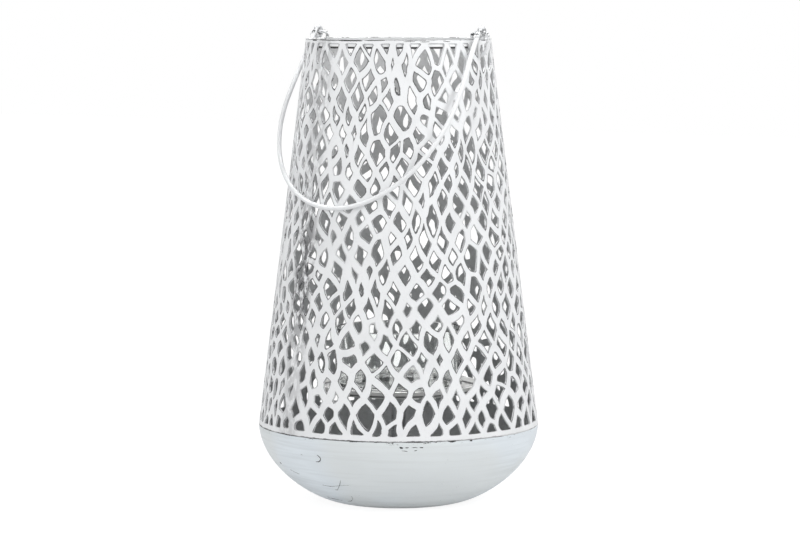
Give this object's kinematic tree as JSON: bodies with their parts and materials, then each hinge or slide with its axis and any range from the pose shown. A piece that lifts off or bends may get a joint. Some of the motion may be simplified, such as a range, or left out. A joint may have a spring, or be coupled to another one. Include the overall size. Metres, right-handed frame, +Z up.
{
  "type": "candle lantern",
  "caption": "Tall conical metal candle lantern with an open leaf-vein fretwork shell on a spun bowl base, a wire bail that swings over the mouth, and a glass cup on an inner dish.",
  "frame": {"origin": "middle of the flat foot, on the surface that the lantern stands on", "axes": "+Z up; the bail hinges along X and hangs to -Y"},
  "size_m": [0.2428, 0.2428, 0.4116],
  "materials": {
    "body_paint": "satin, brushed on and rubbed back at the edges",
    "wire_paint": "satin, chipped where the wires rub",
    "dish_paint": "satin",
    "cup_glass": "clear, polished",
    "plated_steel": "zinc plated"
  },
  "bodies": {
    "lantern_body": {"bowl_base": "body_paint", "fretwork_shell": "body_paint", "rim_hoop": "wire_paint", "ear_right": "wire_paint", "ear_left": "wire_paint", "candle_dish": "dish_paint", "dish_post": "plated_steel", "post_washer": "plated_steel", "post_screw": "plated_steel"},
    "bail_handle": {"bail": "wire_paint"},
    "cup": {"glass_cup": "cup_glass"}
  },
  "joints": [
    {"name": "bail_swing", "type": "hinge", "parent": "lantern_body", "child": "bail_handle", "pos_m": [0, 0, 0.4055], "axis": [-1, 0, 0], "range_deg": [0, 291.4]},
    {"name": "glass_lift", "type": "slide", "parent": "lantern_body", "child": "cup", "axis": [0, 0, 1], "range_m": [0, 0.32]}
  ]
}
